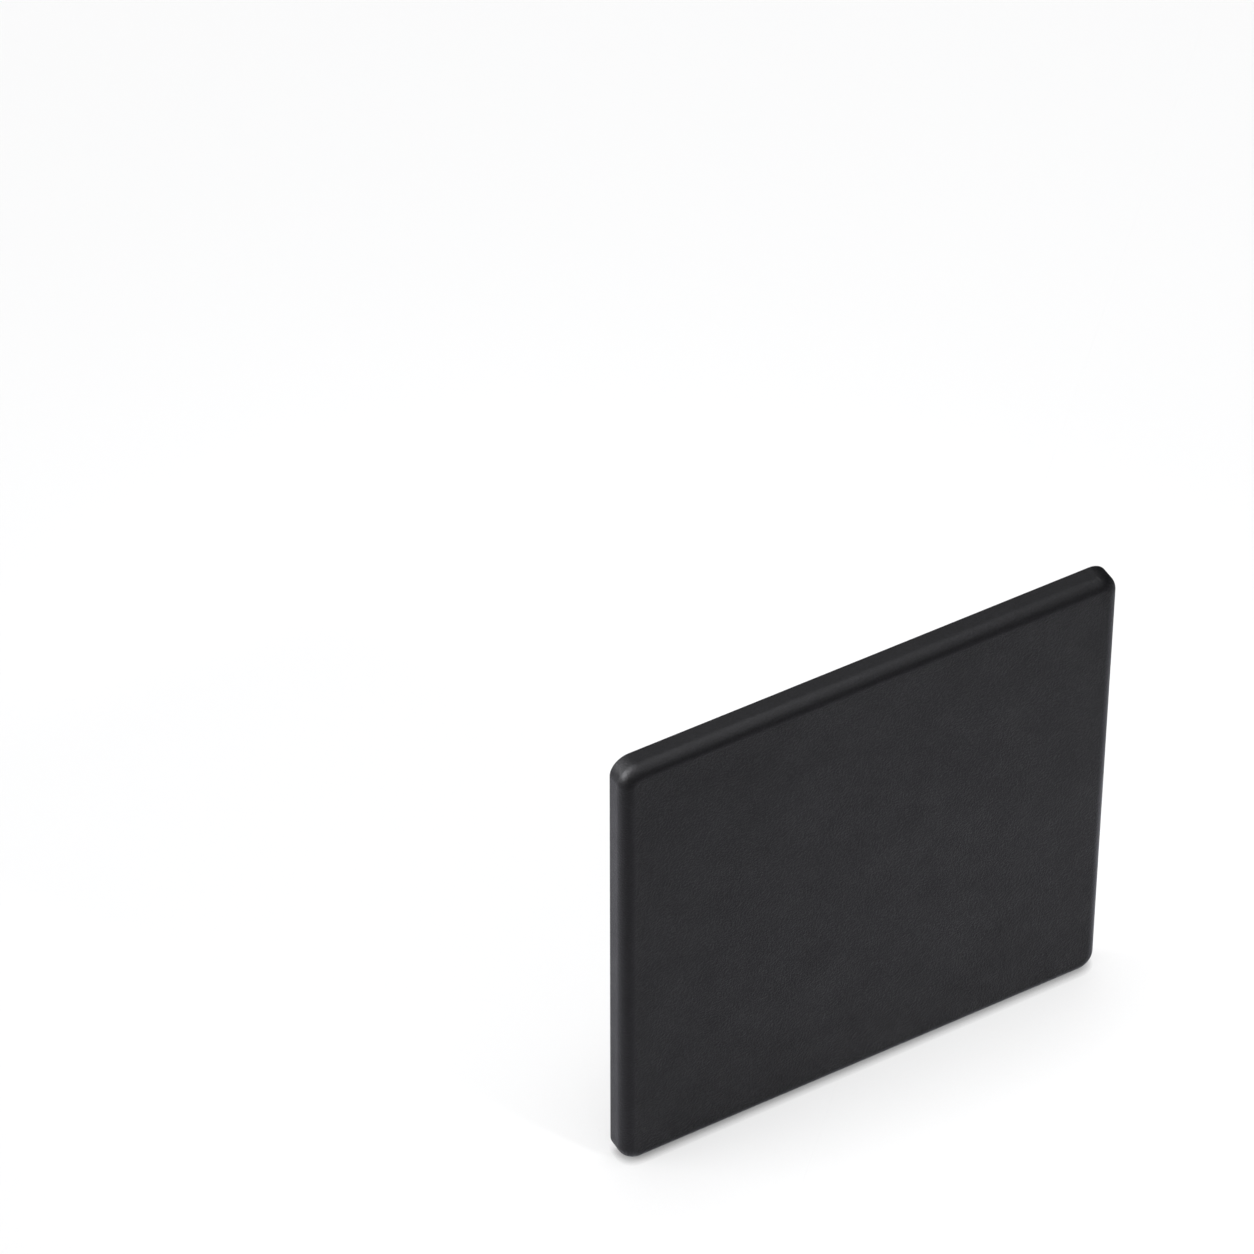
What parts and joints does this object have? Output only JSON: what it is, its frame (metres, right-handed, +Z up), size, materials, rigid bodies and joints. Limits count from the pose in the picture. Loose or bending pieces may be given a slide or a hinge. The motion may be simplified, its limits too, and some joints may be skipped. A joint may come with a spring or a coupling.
{
  "type": "profile end cap",
  "caption": "Square push-in cover cap with a rounded show face and ribbed pegs behind, closing the cut end of a slotted aluminium framing profile.",
  "frame": {"origin": "centre of the seat plane, where the cap meets the cut end of the profile", "axes": "+Y into the profile along its length, -Y out of the show face, +Z up the face, +X across it"},
  "size_m": [0.08, 0.016, 0.08],
  "materials": {
    "moulded_nylon": "fine moulded grain, satin on the rounded edges"
  },
  "bodies": {
    "root": {"end_cap": "moulded_nylon"}
  },
  "joints": []
}
